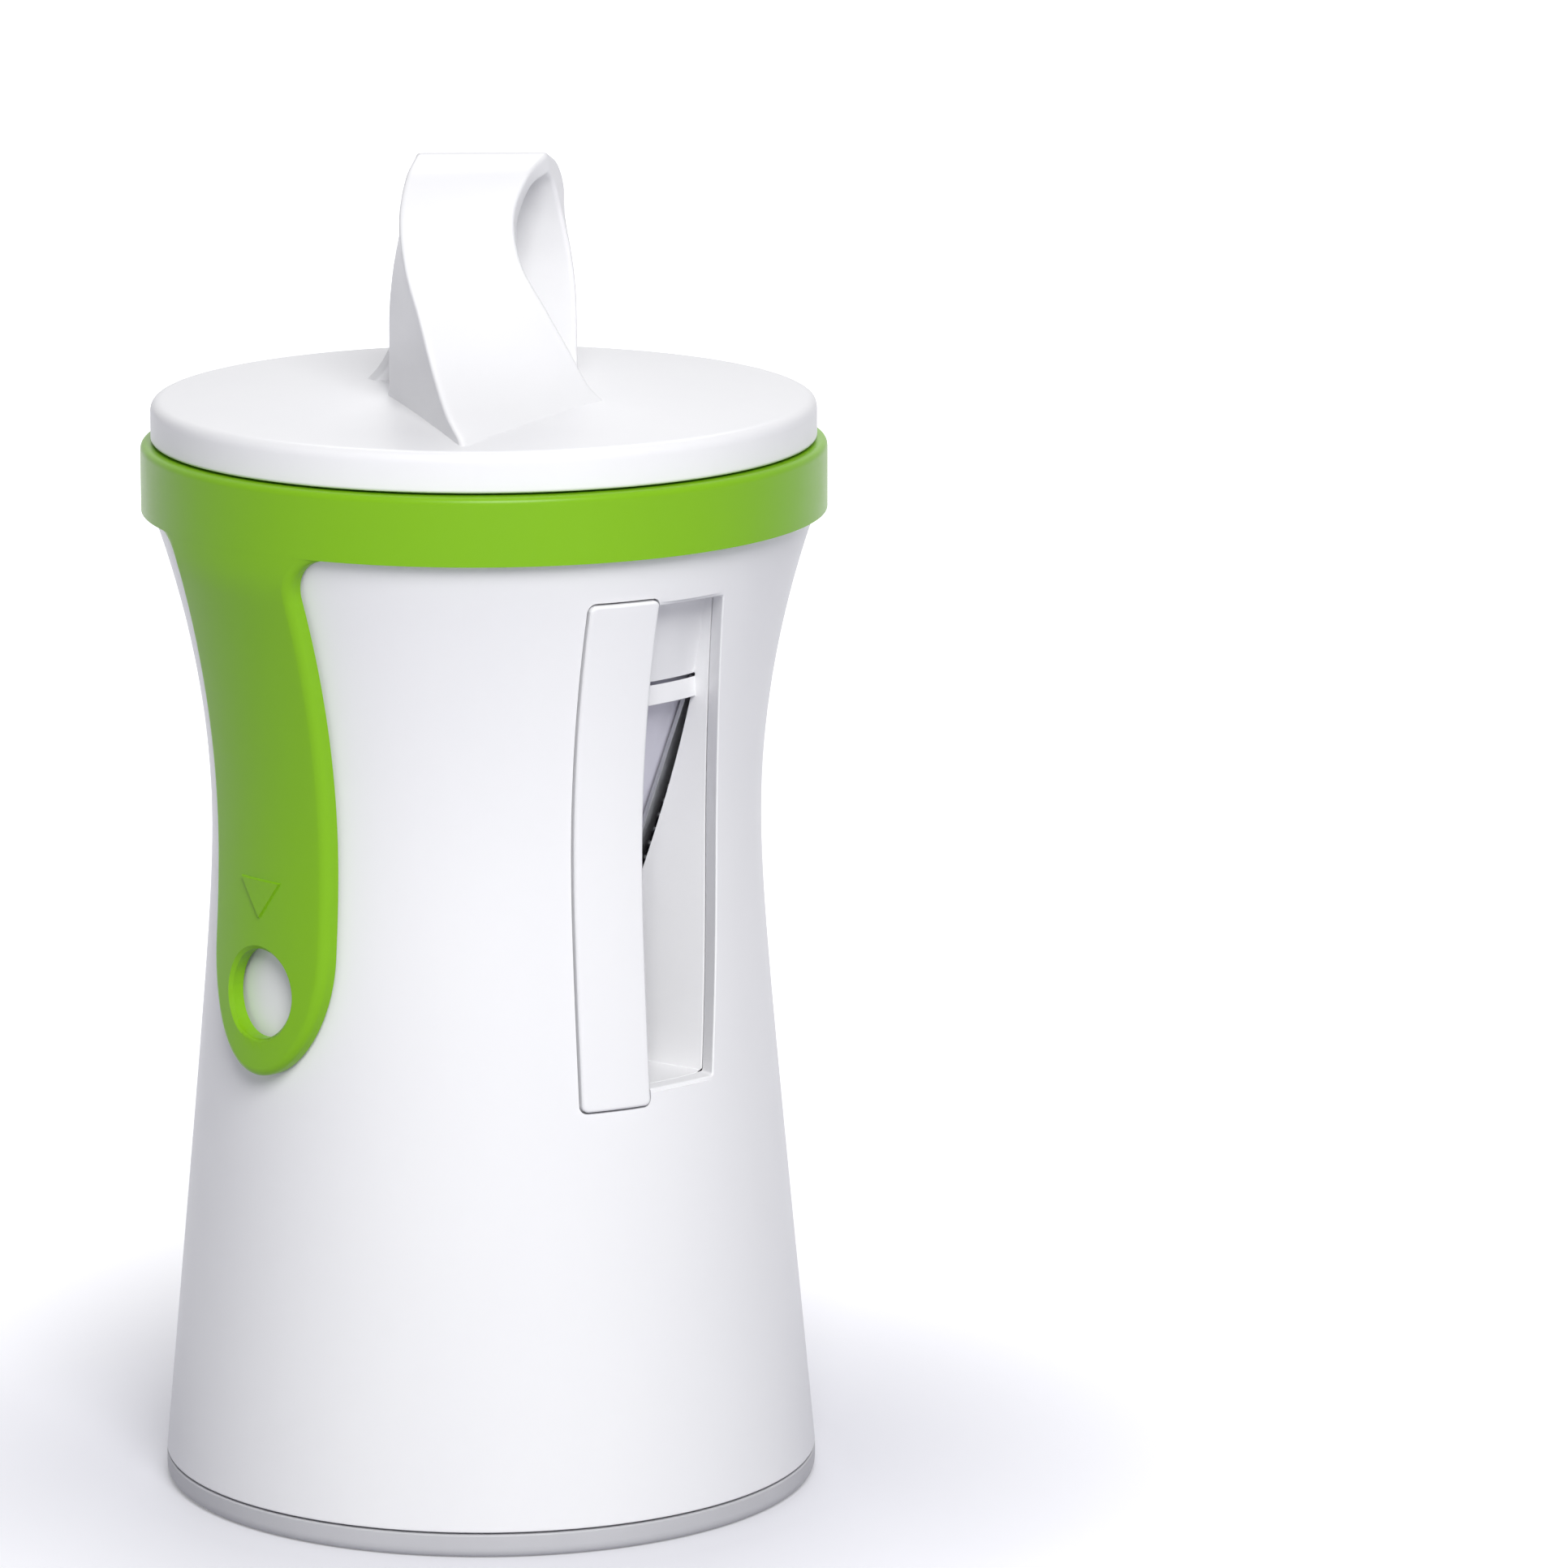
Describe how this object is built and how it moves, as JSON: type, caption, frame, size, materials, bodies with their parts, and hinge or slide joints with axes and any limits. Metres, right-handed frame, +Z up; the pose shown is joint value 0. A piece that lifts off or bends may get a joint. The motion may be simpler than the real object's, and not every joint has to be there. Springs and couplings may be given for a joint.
{
  "type": "spiral vegetable cutter",
  "caption": "Hand-held hourglass vegetable cutter: a turned cap with prongs, a collar with a long tongue that picks the comb, a fixed funnel and knife, and a side window",
  "frame": {"origin": "middle of the flat underside of the foot ring, on the axis that the collar and the cap turn about", "axes": "+Z up along the turning axis; -Y is the front, between the collar's tongue and the throat bar; +X is to the right, the way the strands leave the window"},
  "size_m": [0.092, 0.092, 0.1814],
  "materials": {
    "white_plastic": "glossy injection-moulded white plastic",
    "green_plastic": "glossy leaf green plastic",
    "pale_plastic": "satin pale lavender-grey plastic",
    "grey_plastic": "satin mid-grey plastic",
    "blade_steel": "finely brushed stainless steel",
    "fastener_steel": "plain stainless steel"
  },
  "bodies": {
    "root": {"shell": "white_plastic", "deck": "white_plastic", "foot_ring": "grey_plastic", "throat_bar": "white_plastic", "noodle_chute": "white_plastic", "chute_screws_1": "fastener_steel", "chute_screws_2": "fastener_steel", "funnel": "white_plastic", "funnel_screws_1": "fastener_steel", "funnel_screws_2": "fastener_steel", "funnel_screws_3": "fastener_steel", "straight_blade": "blade_steel", "blade_rivet_1": "fastener_steel", "blade_rivet_2": "fastener_steel", "blade_rivet_3": "fastener_steel"},
    "selector": {"selector_collar": "green_plastic", "comb_drum": "pale_plastic", "comb_2mm": "blade_steel", "comb_3mm": "blade_steel", "comb_5mm": "blade_steel", "comb_2mm_rivet_low": "fastener_steel", "comb_2mm_rivet_high": "fastener_steel", "comb_3mm_rivet_low": "fastener_steel", "comb_3mm_rivet_high": "fastener_steel", "comb_5mm_rivet_low": "fastener_steel", "comb_5mm_rivet_high": "fastener_steel"},
    "lid_guide": {"guide_ring": "pale_plastic"},
    "lid": {"cap": "white_plastic", "prong_plate": "pale_plastic", "plate_screws_1": "fastener_steel", "plate_screws_2": "fastener_steel", "plate_screws_3": "fastener_steel", "prong_0": "blade_steel", "prong_1": "blade_steel", "prong_2": "blade_steel", "prong_3": "blade_steel", "prong_4": "blade_steel", "prong_5": "blade_steel", "prong_6": "blade_steel"}
  },
  "joints": [
    {"name": "selector_turn", "type": "hinge", "parent": "root", "child": "selector", "pos_m": [0, 0, 0.138], "axis": [0, 0, 1], "range_deg": [-180, 0]},
    {"name": "cap_lift", "type": "slide", "parent": "selector", "child": "lid_guide", "axis": [0, 0, 1], "range_m": [0, 0.02]},
    {"name": "cap_turn", "type": "hinge", "parent": "lid_guide", "child": "lid", "pos_m": [0, 0, 0.1415], "axis": [0, 0, 1], "continuous": true}
  ]
}
